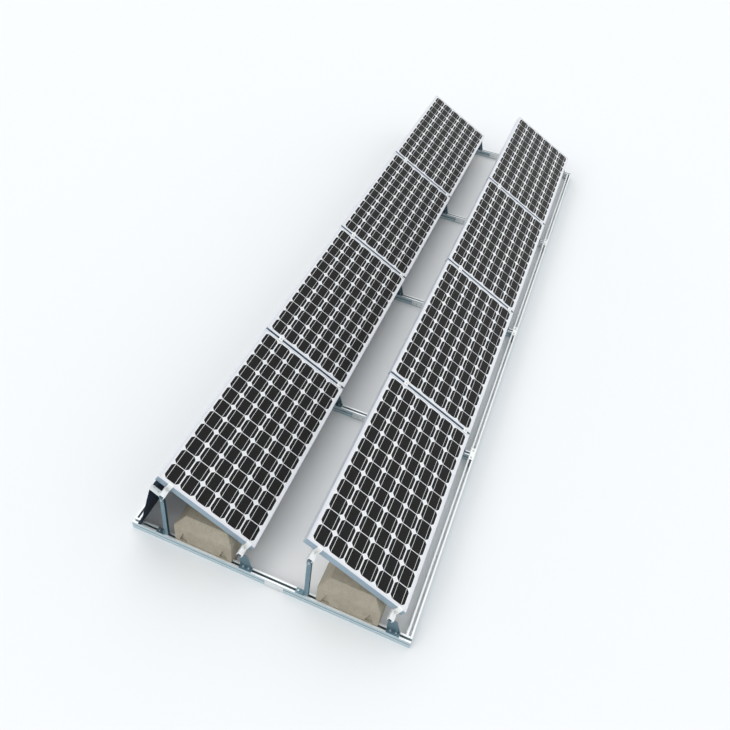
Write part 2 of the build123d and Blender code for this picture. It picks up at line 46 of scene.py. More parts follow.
# ---- Sizes shared with the CAD part ------------------------------------------------------
TILT = math.radians(28.0)
MODULE_LENGTH = 1.580
MODULE_WIDTH = 0.808
MODULE_GAP = 0.020
FRAME_DEPTH = 0.060
FACE_BELOW_LIP = 0.002
LAMINATE_THICKNESS = 0.005
LOW_EDGE_HEIGHT = 0.290
ROW_PITCH = 1.080
RAIL_WIDTH = 0.044
RAIL_HEIGHT = 0.070
RAIL_GROOVE_WIDTH = 0.016
RAIL_BEYOND_HIGH_EDGE = 0.227
RAIL_BEYOND_LOW_EDGE = 0.088
END_RAIL_OFFSET = 0.045
REAR_SEAT_AT_ENDS = 0.105
REAR_SEAT_INSIDE = 0.150
FRONT_SEAT = 0.760
SEAT_WIDTH = 0.040
SEAT_BOTTOM = -0.090
BRACKET_PLATE = 0.004
POST_DEPTH = 0.022
POST_WIDTH = 0.032
POST_TOP_CLEARANCE = 0.003
HEAD_OVERLAP = 0.046
CLAMP_THICKNESS = 0.004
END_CLAMP_FOOT = 0.026
CLAMP_PLAY = 0.0003
POST_BOLT_REACH = 0.044
FOOT_BASE_INNER = 0.002
FOOT_BASE_LENGTH = 0.092
FOOT_BOLT_FROM_END = 0.026
JOINT_PLATE_THICKNESS = 0.004
JOINT_BOLT_REACH = 0.036
SPLICE_THICKNESS = 0.003
ANGLE_THICKNESS = 0.004
ANGLE_BOLT_REACH = 0.038
SPLICE_BOLT_REACHES = (-0.052, -0.022, 0.022, 0.052)
ARM_THICKNESS = 0.005
ARM_LEDGE = 0.034
DEFLECTOR_BOLT_PLACE = 0.027
DEFLECTOR_BOLT_OFFSET = 0.012

MODULE_RUN = MODULE_WIDTH * math.cos(TILT)
HIGH_EDGE_HEIGHT = LOW_EDGE_HEIGHT + MODULE_WIDTH * math.sin(TILT)
GRID_WIDTH = RAIL_BEYOND_HIGH_EDGE + ROW_PITCH + MODULE_RUN + RAIL_BEYOND_LOW_EDGE
HIGH_EDGE_X = {
    row: RAIL_BEYOND_HIGH_EDGE - GRID_WIDTH / 2 + n * ROW_PITCH for n, row in enumerate(ROWS)
}
SPLICE_X = (HIGH_EDGE_X["left"] + MODULE_RUN + HIGH_EDGE_X["right"]) / 2
PITCH = MODULE_LENGTH + MODULE_GAP
ROW_LENGTH = len(MODULES) * PITCH - MODULE_GAP
END_RAIL_Y = ROW_LENGTH / 2 + END_RAIL_OFFSET
INNER_RAIL_YS = [-PITCH, 0.0, PITCH]
RAIL_YS = [-END_RAIL_Y] + INNER_RAIL_YS + [END_RAIL_Y]
MODULE_YS = [(n - (len(MODULES) + 1) / 2) * PITCH for n in MODULES]


def module_matrix(row, y):
    """From a module's own axes (down the slope, along the row, square to the face) to the frame."""
    down = Vector((math.cos(TILT), 0, -math.sin(TILT)))
    up = Vector((math.sin(TILT), 0, math.cos(TILT)))
    matrix = Matrix((down, Vector((0, 1, 0)), up)).transposed().to_4x4()
    matrix.translation = Vector((HIGH_EDGE_X[row], y, HIGH_EDGE_HEIGHT))
    return matrix


def in_side_view(row, down_slope, above_face):
    """A point of a row's slope, as X in the frame and height above the floor."""
    point = module_matrix(row, 0) @ Vector((down_slope, 0, above_face))
    return point.x, point.z


def outward(y):
    """The side of the row that a rail closes, -1 or 1, and 0 for the rails between modules."""
    if y in INNER_RAIL_YS:
        return 0
    return -1 if y < 0 else 1


def rear_seat_place(y):
    """How far down the slope the rear seat lies: higher up at the rows' ends."""
    return REAR_SEAT_AT_ENDS if outward(y) else REAR_SEAT_INSIDE


# ---- Materials ---------------------------------------------------------------------------
class Nodes:
    """Small helper that builds one node material."""

    def __init__(self, name):
        self.material = bpy.data.materials.new(name)
        self.material.use_nodes = True
        self.tree = self.material.node_tree
        self.shader = self.tree.nodes["Principled BSDF"]
        coordinate = self.add("ShaderNodeTexCoord")
        self.place = coordinate.outputs["Object"]

    def add(self, kind, **settings):
        node = self.tree.nodes.new(kind)
        for key, value in settings.items():
            setattr(node, key, value)
        return node

    def link(self, a, b):
        self.tree.links.new(a, b)

    def put(self, node, socket, value):
        target = node.inputs[socket]
        if hasattr(value, "is_output"):
            self.link(value, target)
        else:
            target.default_value = value

    def stretched(self, scale):
        """The piece's own coordinates, drawn out along the axis with the small scale."""
        node = self.add("ShaderNodeMapping")
        self.link(self.place, node.inputs["Vector"])
        node.inputs["Scale"].default_value = scale
        return node.outputs["Vector"]

    def noise(self, scale, detail, rough, vector=None):
        node = self.add("ShaderNodeTexNoise")
        self.link(vector or self.place, node.inputs["Vector"])
        node.inputs["Scale"].default_value = scale
        node.inputs["Detail"].default_value = detail
        node.inputs["Roughness"].default_value = rough
        return node.outputs["Fac"]

    def span(self, value, low, high, out_low=0.0, out_high=1.0):
        node = self.add("ShaderNodeMapRange")
        self.link(value, node.inputs["Value"])
        node.inputs["From Min"].default_value = low
        node.inputs["From Max"].default_value = high
        node.inputs["To Min"].default_value = out_low
        node.inputs["To Max"].default_value = out_high
        return node.outputs["Result"]

    def mix(self, factor, a, b):
        node = self.add("ShaderNodeMix", data_type="RGBA")
        self.put(node, "Factor", factor)
        for socket, value in ((node.inputs[6], a), (node.inputs[7], b)):
            if hasattr(value, "is_output"):
                self.link(value, socket)
            else:
                socket.default_value = (*value, 1.0)
        return node.outputs[2]

    def toned(self, colour, tone):
        """The colour times a factor per channel."""
        node = self.add("ShaderNodeMix", data_type="RGBA", blend_type="MULTIPLY")
        node.inputs["Factor"].default_value = 1.0
        self.link(colour, node.inputs[6])
        node.inputs[7].default_value = (*tone, 1.0)
        return node.outputs[2]

    def math(self, operation, a, b):
        node = self.add("ShaderNodeMath", operation=operation)
        self.put(node, 0, a)
        self.put(node, 1, b)
        return node.outputs[0]

    def bump(self, height, strength, distance, rounded=0.0):
        """Fine relief, and sharp edges shaded as if rounded by the given radius."""
        node = self.add("ShaderNodeBump")
        if rounded:
            edge = self.add("ShaderNodeBevel", samples=4)
            edge.inputs["Radius"].default_value = rounded
            self.link(edge.outputs["Normal"], node.inputs["Normal"])
        self.link(height, node.inputs["Height"])
        node.inputs["Strength"].default_value = strength
        node.inputs["Distance"].default_value = distance
        self.link(node.outputs["Normal"], self.shader.inputs["Normal"])

    def edges(self, reach=0.5):
        """1 on sharp outer edges, from the mesh's own pointiness."""
        node = self.add("ShaderNodeNewGeometry")
        return self.span(node.outputs["Pointiness"], 0.5, 0.5 + 0.1 * reach)

    def upward(self):
        """1 on faces that look up, 0 on upright and lower ones."""
        normal = self.add("ShaderNodeSeparateXYZ")
        self.link(self.add("ShaderNodeNewGeometry").outputs["Normal"], normal.inputs["Vector"])
        return self.span(normal.outputs["Z"], 0.1, 0.55)

    def level_band(self, low, high):
        """1 between two heights of a piece that stands on the roof."""
        place = self.add("ShaderNodeSeparateXYZ")
        self.link(self.place, place.inputs["Vector"])
        above = self.span(place.outputs["Z"], low, low + 0.0005)
        below = self.span(place.outputs["Z"], high - 0.0005, high, 1.0, 0.0)
        return self.math("MULTIPLY", above, below)

    def set(self, **values):
        for key, value in values.items():
            self.put(self.shader, key.replace("_", " "), value)


def brighter(colour, factor, most=1.0):
    return tuple(min(most, channel * factor) for channel in colour)


def metal(name, light, dark, rough, grain, metallic=0.9, upright=None, groove=None, rounded=0.0):
    """Bare metal: a drawn or rolled grain along one axis, soft stains, and sharp edges made brighter as a
    painted highlight where they are not shaded as rounded.

    Upright faces can be darkened and tinted by a factor per channel, a painted shade with a painted blue
    reflection, and the groove between two heights darkened as a painted shadow.
    """
    m = Nodes(name)
    streaks = m.noise(scale=1.0, detail=3.0, rough=0.5, vector=m.stretched(grain))
    stains = m.noise(scale=6.0, detail=5.0, rough=0.65)
    fine = m.noise(scale=60.0, detail=3.0, rough=0.5)
    base = m.mix(m.span(stains, 0.3, 0.7), dark, light)
    base = m.mix(m.span(streaks, 0.35, 0.75, 0.0, 0.35), base, brighter(light, 1.12))
    # Painted highlight: sharp edges made brighter, only where the Bevel node does not shade them as rounded.
    if not rounded:
        base = m.mix(m.math("MULTIPLY", m.edges(), 0.45), base, brighter(light, 1.25, most=0.95))
    # Painted shade: upright faces darkened and tinted blue-grey by a factor per channel, with a painted blue
    # reflection.
    if upright:
        base = m.mix(m.upward(), m.toned(base, upright), base)
    # Painted shadow: the groove band between two heights darkened by a factor per channel.
    if groove:
        low, high, tone = groove
        base = m.mix(m.level_band(low, high), base, m.toned(base, tone))
    m.set(Base_Color=base, Metallic=metallic)
    broad_shine = m.span(streaks, 0.3, 0.7, rough - 0.07, rough + 0.07)
    fine_shine = m.span(fine, 0.3, 0.7, -0.04, 0.04)
    m.set(Roughness=m.math("ADD", broad_shine, fine_shine))
    m.bump(m.math("ADD", streaks, m.math("MULTIPLY", fine, 0.4)), 0.18, 0.0004, rounded)
    return m.material


def galvanised(name, light, dark, rough):
    """Zinc-coated sheet with its large faint crystals."""
    m = Nodes(name)
    crystals = m.add("ShaderNodeTexVoronoi")
    m.link(m.place, crystals.inputs["Vector"])
    crystals.inputs["Scale"].default_value = 90.0
    tone = m.add("ShaderNodeSeparateColor")
    m.link(crystals.outputs["Color"], tone.inputs["Color"])
    stains = m.noise(scale=9.0, detail=5.0, rough=0.6)
    base = m.mix(m.span(tone.outputs[0], 0.0, 1.0, 0.0, 0.55), dark, light)
    base = m.mix(m.span(stains, 0.4, 0.75, 0.0, 0.4), base, brighter(dark, 0.8))
    base = m.mix(m.math("MULTIPLY", m.edges(), 0.4), base, brighter(light, 1.4, most=0.9))
    m.set(Base_Color=base, Metallic=0.75)
    m.set(Roughness=m.span(tone.outputs[1], 0.0, 1.0, rough - 0.08, rough + 0.1))
    m.bump(m.math("ADD", tone.outputs[0], stains), 0.12, 0.0003)
    return m.material


def cell_silicon():
    """Dark silicon with fine printed fingers, behind a clear coat that stands for the glass."""
    m = Nodes("cell_silicon")
    mottle = m.noise(scale=14.0, detail=4.0, rough=0.6)
    wave = m.add("ShaderNodeTexWave", wave_type="BANDS", bands_direction="Y", wave_profile="SIN")
    m.link(m.place, wave.inputs["Vector"])
    wave.inputs["Scale"].default_value = 130.0
    fingers = m.span(wave.outputs["Fac"], 0.86, 1.0, 0.0, 0.22)
    base = m.mix(m.span(mottle, 0.3, 0.7), (0.0032, 0.0031, 0.0033), (0.0062, 0.0060, 0.0064))
    base = m.mix(fingers, base, (0.07, 0.07, 0.075))
    m.set(Base_Color=base, Roughness=m.span(mottle, 0.3, 0.7, 0.34, 0.46), Specular_IOR_Level=0.14)
    m.set(Coat_Weight=0.09, Coat_Roughness=0.05)
    m.bump(m.noise(scale=400.0, detail=2.0, rough=0.5), 0.05, 0.0002)
    return m.material


def backsheet():
    """White sheet seen between the cells through the glass, and bare from below."""
    m = Nodes("backsheet")
    cloud = m.noise(scale=8.0, detail=4.0, rough=0.6)
    weave = m.noise(scale=350.0, detail=2.0, rough=0.5)
    base = m.mix(m.span(cloud, 0.3, 0.7), (0.82, 0.82, 0.84), (0.87, 0.87, 0.88))
    m.set(Base_Color=base, Roughness=m.span(weave, 0.3, 0.7, 0.3, 0.42))
    m.set(Coat_Weight=0.25, Coat_Roughness=0.06)
    m.bump(weave, 0.06, 0.0002)
    return m.material


def concrete():
    """Cast concrete: mottled sand colour, air pores, a little dust near the edges."""
    m = Nodes("cast_concrete")
    broad = m.noise(scale=5.0, detail=6.0, rough=0.65)
    medium = m.noise(scale=28.0, detail=6.0, rough=0.7)
    grit = m.noise(scale=260.0, detail=4.0, rough=0.65)
    pores = m.add("ShaderNodeTexVoronoi")
    m.link(m.place, pores.inputs["Vector"])
    pores.inputs["Scale"].default_value = 75.0
    pits = m.span(pores.outputs["Distance"], 0.10, 0.22)
    base = m.mix(m.span(broad, 0.3, 0.7), (0.30, 0.265, 0.200), (0.42, 0.380, 0.300))
    base = m.mix(m.span(medium, 0.4, 0.75, 0.0, 0.55), base, (0.25, 0.22, 0.165))
    base = m.mix(m.span(grit, 0.45, 0.75, 0.0, 0.4), base, (0.49, 0.45, 0.36))
    base = m.mix(m.span(pits, 0.0, 1.0, 0.75, 0.0), base, (0.14, 0.12, 0.090))
    base = m.mix(m.math("MULTIPLY", m.edges(0.8), 0.35), base, (0.52, 0.48, 0.40))
    m.set(Base_Color=base, Roughness=m.span(medium, 0.3, 0.7, 0.82, 0.96), Specular_IOR_Level=0.25)
    height = m.math("ADD", m.math("MULTIPLY", grit, 0.35), pits)
    m.bump(m.math("ADD", height, medium), 0.5, 0.0015)
    return m.material


def coated_sheet_painted_reflection():
    """Dark coated steel sheet with a faint orange peel and rubbed edges; its navy tint is a painted
    reflection of a blue roof, and its darkness is partly painted shade.
    """
    m = Nodes("coated_sheet_painted_reflection")
    peel = m.noise(scale=220.0, detail=3.0, rough=0.5)
    dust = m.noise(scale=7.0, detail=6.0, rough=0.7)
    # Painted reflection and shade: the navy tint stands for a blue roof reflected in the shaded sheet.
    base = m.mix(m.span(dust, 0.35, 0.75), (0.004, 0.013, 0.030), (0.009, 0.025, 0.050))
    base = m.mix(m.math("MULTIPLY", m.edges(), 0.3), base, (0.10, 0.12, 0.14))
    m.set(Base_Color=base, Roughness=m.span(dust, 0.3, 0.7, 0.50, 0.64), Specular_IOR_Level=0.06)
    m.bump(peel, 0.12, 0.0004)
    return m.material


def black_plastic():
    """Moulded plastic with a fine grain."""
    m = Nodes("moulded_plastic")
    grain = m.noise(scale=600.0, detail=3.0, rough=0.6)
    wear = m.noise(scale=20.0, detail=4.0, rough=0.6)
    base = m.mix(m.span(wear, 0.3, 0.7), (0.014, 0.014, 0.015), (0.028, 0.028, 0.030))
    m.set(Base_Color=base, Roughness=m.span(grain, 0.3, 0.7, 0.48, 0.64))
    m.bump(grain, 0.2, 0.0003)
    return m.material


ALONG_X = (4.0, 380.0, 380.0)
ALONG_Y = (380.0, 4.0, 380.0)
NO_GRAIN = (90.0, 90.0, 90.0)
# Painted shade with a painted blue reflection: the factor that darkens upright frame faces to blue-grey.
FRAME_SIDE_PAINTED_SHADE = (0.38, 0.50, 0.56)
FRAME_EDGE_RADIUS = 0.0008
RAIL_LIGHT = (0.90, 0.92, 0.92)
RAIL_DARK = (0.80, 0.83, 0.83)
# Painted shade with a painted blue reflection: the factor that darkens upright rail faces to blue-grey.
RAIL_SIDE_PAINTED_SHADE = (0.52, 0.65, 0.71)
# Painted shadow: the factor that darkens the band of the rail's groove, and the band's heights.
RAIL_GROOVE_PAINTED_SHADOW = (0.45, 0.50, 0.52)
RAIL_GROOVE = (
    (RAIL_HEIGHT - RAIL_GROOVE_WIDTH) / 2,
    (RAIL_HEIGHT + RAIL_GROOVE_WIDTH) / 2,
    RAIL_GROOVE_PAINTED_SHADOW,
)


def rail_metal(name, grain):
    return metal(
        name, RAIL_LIGHT, RAIL_DARK, 0.42, grain, metallic=0.45, upright=RAIL_SIDE_PAINTED_SHADE, groove=RAIL_GROOVE
    )


MATERIALS = {
    "module_frame": metal(
        "anodised_frame", (0.80, 0.81, 0.86), (0.73, 0.74, 0.80), 0.38, ALONG_Y,
        metallic=0.4, upright=FRAME_SIDE_PAINTED_SHADE, rounded=FRAME_EDGE_RADIUS,
    ),
    "laminate": backsheet(),
    "cells": cell_silicon(),
    "junction_box": black_plastic(),
    "rail_x": rail_metal("rail_aluminium_x", ALONG_X),
    "rail_y": rail_metal("rail_aluminium_y", ALONG_Y),
    "plate": metal("zinc_plate", (0.72, 0.74, 0.74), (0.62, 0.64, 0.65), 0.36, ALONG_X),
    "support": galvanised("galvanised_sheet", (0.17, 0.27, 0.32), (0.11, 0.18, 0.22), 0.42),
    "seat": metal(
        "seat_aluminium", (0.90, 0.91, 0.91), (0.82, 0.84, 0.84), 0.38, ALONG_Y, metallic=0.4
    ),
    "concrete": concrete(),
    "clamp": metal(
        "clamp_aluminium", (0.95, 0.96, 0.95), (0.87, 0.88, 0.87), 0.36, ALONG_Y, metallic=0.4
    ),
    "bolt": metal("zinc_bolt", (0.66, 0.68, 0.68), (0.50, 0.52, 0.53), 0.32, NO_GRAIN),
    "deflector": coated_sheet_painted_reflection(),
}


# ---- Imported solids: their materials, and softened edges ------------------------------------
WELD_DISTANCE = 0.00002
EDGE_SEGMENTS = 2
SHARP_EDGE_ANGLE = math.radians(25)


def soften(node, width):
    """Rounds a solid's sharp edges for the render only."""
    weld = node.modifiers.new("weld", "WELD")
    weld.merge_threshold = WELD_DISTANCE
    bevel = node.modifiers.new("bevel", "BEVEL")
    bevel.width = width
    bevel.segments = EDGE_SEGMENTS
    bevel.limit_method = "ANGLE"
    bevel.angle_limit = SHARP_EDGE_ANGLE
    bevel.harden_normals = True


# For each group of nodes, its material and the width of its softened edges.
LOOKS = {
    "module_frame": ("module_frame", 0),
    "module_laminate": ("laminate", 0),
    "module_cells": ("cells", 0),
    "junction_boxes": ("junction_box", 0.002),
    "cross_rail": ("rail_x", 0.0008),
    "side_rail": ("rail_y", 0.0008),
    "splice_plates": ("plate", 0.0006),
    "joint_plates": ("plate", 0.0008),
    "corner_angles": ("plate", 0.0006),
    "post_bases": ("support", 0.0006),
    "post_heads": ("support", 0.0006),
    "rear_posts": ("support", 0.0006),
    "front_feet": ("support", 0.0006),
    "deflector_arms": ("plate", 0.0006),
    "rear_seats": ("seat", 0.0009),
    "front_seats": ("seat", 0.0009),
    "ballast_blocks": ("concrete", 0.005),
    "mid_clamps": ("clamp", 0.0007),
    "end_clamps": ("clamp", 0.0007),
    "clamp_bolts": ("bolt", 0.0005),
    "joint_plate_bolts": ("bolt", 0.0005),
    "support_bolts": ("bolt", 0.0005),
    "post_bolts": ("bolt", 0.0005),
    "wind_deflector": ("deflector", 0.0004),
}

for name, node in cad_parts.items():
    look, edge = next(value for key, value in LOOKS.items() if name.startswith(key))
    for material_slot in node.material_slots:
        material_slot.link = "OBJECT"
        material_slot.material = MATERIALS[look]
    if edge:
        soften(node, edge)


# ---- New pieces ----------------------------------------------------------------------------
def piece(name, mesh, look, replaced=()):
    """Makes a finished mesh one named piece of the object."""
    mesh.normal_update()
    data = bpy.data.meshes.new(name)
    mesh.to_mesh(data)
    mesh.free()
    made = bpy.data.objects.new(name, data)
    bpy.context.scene.collection.objects.link(made)
    data.materials.append(MATERIALS[look])
    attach(made, "root")
    if replaced:
        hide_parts(*replaced)


def add_prism(mesh, outline, bottom, top, matrix):
    """A straight-sided solid from an outline in X and Y, between two heights."""
    low = [mesh.verts.new(matrix @ Vector((x, y, bottom))) for x, y in outline]
    high = [mesh.verts.new(matrix @ Vector((x, y, top))) for x, y in outline]
    mesh.faces.new(low[::-1])
    mesh.faces.new(high)
    count = len(outline)
    for n in range(count):
        after = (n + 1) % count
        mesh.faces.new((low[n], low[after], high[after], high[n]))


def add_box(mesh, size, centre, matrix):
    """A block of the given size about its centre."""
    x, y, z = (value / 2 for value in size)
    cx, cy, cz = centre
    outline = [(cx - x, cy - y), (cx + x, cy - y), (cx + x, cy + y), (cx - x, cy + y)]
    add_prism(mesh, outline, cz - z, cz + z, matrix)


def add_turned(mesh, profile, matrix, sides):
    """A solid turned about Z from (radius, height) points; the first and last radius may be 0."""
    rings = []
    for radius, height in profile:
        if radius == 0:
            rings.append([mesh.verts.new(matrix @ Vector((0, 0, height)))])
            continue
        ring = []
        for n in range(sides):
            angle = 2 * math.pi * n / sides
            point = Vector((radius * math.cos(angle), radius * math.sin(angle), height))
            ring.append(mesh.verts.new(matrix @ point))
        rings.append(ring)
    for low, high in zip(rings, rings[1:]):
        for n in range(sides):
            after = (n + 1) % sides
            if len(low) == 1:
                mesh.faces.new((low[0], high[after], high[n]))
            elif len(high) == 1:
                mesh.faces.new((low[n], low[after], high[0]))
            else:
                mesh.faces.new((low[n], low[after], high[after], high[n]))


# Cells: rounded corners, with two busbar ribbons along each string.
CELLS_ALONG = 12
CELLS_ACROSS = 6
CELL_LENGTH = 0.122
CELL_WIDTH = 0.117
CELL_GAP_ALONG = 0.006
CELL_GAP_ACROSS = 0.010
CELL_PITCH_ALONG = CELL_LENGTH + CELL_GAP_ALONG
CELL_PITCH_ACROSS = CELL_WIDTH + CELL_GAP_ACROSS
CELL_THICKNESS = 0.0006
CELL_SINK = 0.0002
CELL_CORNER_RADIUS = 0.0715
CORNER_STEPS = 4
RIBBON_WIDTH = 0.0030
RIBBON_FROM_CENTRE = 0.0350
RIBBON_HEIGHT = 0.0003
RIBBON_SINK = 0.0004
RIBBON_BEYOND_CELLS = 0.004


def cell_outline():
    """A wafer cut from a round ingot: straight sides, with the ingot's curve at the corners."""
    first = math.acos(CELL_WIDTH / 2 / CELL_CORNER_RADIUS)
    last = math.asin(CELL_LENGTH / 2 / CELL_CORNER_RADIUS)
    angles = [first + (last - first) * step / CORNER_STEPS for step in range(CORNER_STEPS + 1)]
    points = []
    for sx, sy in ((1, 1), (-1, 1), (-1, -1), (1, -1)):
        for angle in angles if sx == sy else angles[::-1]:
            x = sx * CELL_CORNER_RADIUS * math.cos(angle)
            y = sy * CELL_CORNER_RADIUS * math.sin(angle)
            points.append((x, y))
    return points


def string_places():
    """The middle of each string of cells, down the slope."""
    first = (CELLS_ACROSS - 1) / 2
    return [MODULE_WIDTH / 2 + (i - first) * CELL_PITCH_ACROSS for i in range(CELLS_ACROSS)]


def module_cell_places():
    """The middle of each cell on a module's face."""
    for x in string_places():
        for j in range(CELLS_ALONG):
            yield x, (j - (CELLS_ALONG - 1) / 2) * CELL_PITCH_ALONG


CELL_TOP = -FACE_BELOW_LIP + CELL_THICKNESS
RIBBON_TOP = CELL_TOP + RIBBON_HEIGHT
RIBBON_DEPTH = RIBBON_HEIGHT + RIBBON_SINK
STRING_REACH = (CELLS_ALONG - 1) / 2 * CELL_PITCH_ALONG + CELL_LENGTH / 2
RIBBON_LENGTH = 2 * STRING_REACH + 2 * RIBBON_BEYOND_CELLS

for row in ROWS:
    for number, module_y in zip(MODULES, MODULE_YS):
        matrix = module_matrix(row, module_y)
        cells = bmesh.new()
        for x, y in module_cell_places():
            outline = [(x + a, y + b) for a, b in cell_outline()]
            add_prism(cells, outline, -FACE_BELOW_LIP - CELL_SINK, CELL_TOP, matrix)
        piece(f"cells_{row}_{number}", cells, "cells", [f"module_cells_{row}_{number}"])

        ribbons = bmesh.new()
        for middle in string_places():
            for side in (-1, 1):
                centre = (middle + side * RIBBON_FROM_CENTRE, 0, RIBBON_TOP - RIBBON_DEPTH / 2)
                add_box(ribbons, (RIBBON_WIDTH, RIBBON_LENGTH, RIBBON_DEPTH), centre, matrix)
        piece(f"ribbons_{row}_{number}", ribbons, "plate")


# Junction boxes: a lid set in from the edge, with four screws, and two cable glands on the
# downhill side.
JUNCTION_BOX_LENGTH = 0.150
JUNCTION_BOX_WIDTH = 0.100
JUNCTION_BOX_HEIGHT = 0.024
JUNCTION_BOX_FROM_EDGE = 0.060
LID_MARGIN = 0.006
LID_CORNER_RADIUS = 0.006
LID_THICKNESS = 0.002
LID_LENGTH = JUNCTION_BOX_LENGTH - 2 * LID_MARGIN
LID_WIDTH = JUNCTION_BOX_WIDTH - 2 * LID_MARGIN
SCREW_RADIUS = 0.0032
SCREW_RIM = 0.0008
SCREW_HEIGHT = 0.0014
SCREW_FROM_LID_EDGE = 0.008
SCREW_SIDES = 16
GLAND_RADIUS = 0.008
GLAND_NUT = 0.006
GLAND_STEP = 0.001
GLAND_NOSE = 0.004
GLAND_LENGTH = 0.018
GLAND_OFFSET = 0.045
GLAND_SIDES = 18

SCREW_PROFILE = [
    (0, 0),
    (SCREW_RADIUS, 0),
    (SCREW_RADIUS, SCREW_RIM),
    (SCREW_RADIUS * 0.8, SCREW_HEIGHT),
    (0, SCREW_HEIGHT),
]
GLAND_PROFILE = [
    (0, 0),
    (GLAND_RADIUS, 0),
    (GLAND_RADIUS, GLAND_NUT),
    (GLAND_RADIUS * 0.85, GLAND_NUT + GLAND_STEP),
    (GLAND_RADIUS * 0.85, GLAND_LENGTH - GLAND_NOSE),
    (GLAND_RADIUS * 0.6, GLAND_LENGTH),
    (0, GLAND_LENGTH),
]


def add_rounded_plate(mesh, size_x, size_y, radius, bottom, top, matrix):
    """A flat plate with rounded corners, about the middle of the matrix's own X and Y."""
    outline = []
    for sx, sy, first in ((1, 1, 0), (-1, 1, 90), (-1, -1, 180), (1, -1, 270)):
        for step in range(CORNER_STEPS + 1):
            angle = math.radians(first + 90 / CORNER_STEPS * step)
            x = sx * (size_x / 2 - radius) + radius * math.cos(angle)
            y = sy * (size_y / 2 - radius) + radius * math.sin(angle)
            outline.append((x, y))
    add_prism(mesh, outline, bottom, top, matrix)


lids = bmesh.new()
lid_screws = bmesh.new()
glands = bmesh.new()
box_under = -FACE_BELOW_LIP - LAMINATE_THICKNESS - JUNCTION_BOX_HEIGHT
box_middle = JUNCTION_BOX_FROM_EDGE + JUNCTION_BOX_WIDTH / 2
for row in ROWS:
    for module_y in MODULE_YS:
        # From here on +Z leads away from the laminate.
        box_place = module_matrix(row, module_y) @ Matrix.Translation((box_middle, 0, box_under))
        box_face = box_place @ Matrix.Rotation(math.pi, 4, "X")
        add_rounded_plate(lids, LID_WIDTH, LID_LENGTH, LID_CORNER_RADIUS, 0, LID_THICKNESS, box_face)
        for sx in (-1, 1):
            for sy in (-1, 1):
                x = sx * (LID_WIDTH / 2 - SCREW_FROM_LID_EDGE)
                y = sy * (LID_LENGTH / 2 - SCREW_FROM_LID_EDGE)
                corner = Matrix.Translation((x, y, LID_THICKNESS))
                add_turned(lid_screws, SCREW_PROFILE, box_face @ corner, SCREW_SIDES)
        for sy in (-1, 1):
            mouth = Matrix.Translation((JUNCTION_BOX_WIDTH / 2, sy * GLAND_OFFSET, -JUNCTION_BOX_HEIGHT / 2))
            downhill = Matrix.Rotation(math.pi / 2, 4, "Y")
            add_turned(glands, GLAND_PROFILE, box_face @ mouth @ downhill, GLAND_SIDES)
piece("junction_box_lids", lids, "junction_box")
piece("junction_box_screws", lid_screws, "bolt")
piece("junction_box_glands", glands, "junction_box")


# Fasteners: hexagon heads on washers, and round socket heads on the clamps.
HEX_CORNER_RADIUS = 0.0075
HEX_CHAMFER = 0.0008
HEX_DISH = 0.0003
HEX_CROWN = 0.0001
HEAD_HEIGHT = 0.0065
WASHER_RADIUS = 0.0090
WASHER_HEIGHT = 0.0014
WASHER_EDGE = WASHER_HEIGHT * 0.25
WASHER_SIDES = 20
WASHER_PROFILE = [
    (0, 0),
    (WASHER_RADIUS, 0),
    (WASHER_RADIUS, WASHER_HEIGHT - WASHER_EDGE),
    (WASHER_RADIUS - WASHER_EDGE, WASHER_HEIGHT),
    (0, WASHER_HEIGHT),
]

SOCKET_SIDES = 24
SOCKET_WASHER_PROFILE = [(0, 0), (0.0085, 0), (0.0085, 0.0010), (0.0082, 0.0013), (0, 0.0013)]
SOCKET_HEAD_ROUND = [(0.0066, 0.0013), (0.0066, 0.0072), (0.0060, 0.0079), (0.0041, 0.0079)]
SOCKET_HEAD_HEXAGON = [(0.0034, 0.0077), (0.0034, 0.0040)]


def facing(place, normal):
    """A matrix with its own Z along the given direction."""
    turn = Vector(normal).to_track_quat("Z", "X").to_matrix().to_4x4()
    turn.translation = Vector(place)
    return turn


def add_hex_bolt(mesh, matrix, washer=True):
    """Hexagon head with a chamfered, slightly dished top."""
    low = 0.0
    if washer:
        add_turned(mesh, WASHER_PROFILE, matrix, WASHER_SIDES)
        low = WASHER_HEIGHT
    corner = HEX_CORNER_RADIUS
    head = [
        (0, low),
        (corner, low),
        (corner, HEAD_HEIGHT - HEX_CHAMFER),
        (corner * 0.9, HEAD_HEIGHT - HEX_CROWN),
        (corner * 0.72, HEAD_HEIGHT),
        (corner * 0.66, HEAD_HEIGHT - HEX_DISH),
        (0, HEAD_HEIGHT - HEX_DISH),
    ]
    add_turned(mesh, head, matrix, sides=6)


def on_hexagon(radius, angle):
    """How far a hexagon with the given corner radius reaches at an angle."""
    sixth, half = math.radians(60), math.radians(30)
    return radius * math.cos(half) / math.cos((angle % sixth) - half)


def add_socket_bolt(mesh, matrix):
    """Round head with a hexagon socket, on a washer."""
    add_turned(mesh, SOCKET_WASHER_PROFILE, matrix, SOCKET_SIDES)
    angles = [2 * math.pi * n / SOCKET_SIDES for n in range(SOCKET_SIDES)]
    rings = [([radius] * SOCKET_SIDES, height) for radius, height in SOCKET_HEAD_ROUND]
    for radius, height in SOCKET_HEAD_HEXAGON:
        rings.append(([on_hexagon(radius, angle) for angle in angles], height))
    made = []
    for reaches, height in rings:
        points = [
            Vector((reach * math.cos(angle), reach * math.sin(angle), height))
            for reach, angle in zip(reaches, angles)
        ]
        made.append([mesh.verts.new(matrix @ point) for point in points])
    for low, high in zip(made, made[1:]):
        for n in range(SOCKET_SIDES):
            after = (n + 1) % SOCKET_SIDES
            mesh.faces.new((low[n], low[after], high[after], high[n]))
    mesh.faces.new(made[0][::-1])
    mesh.faces.new(made[-1])


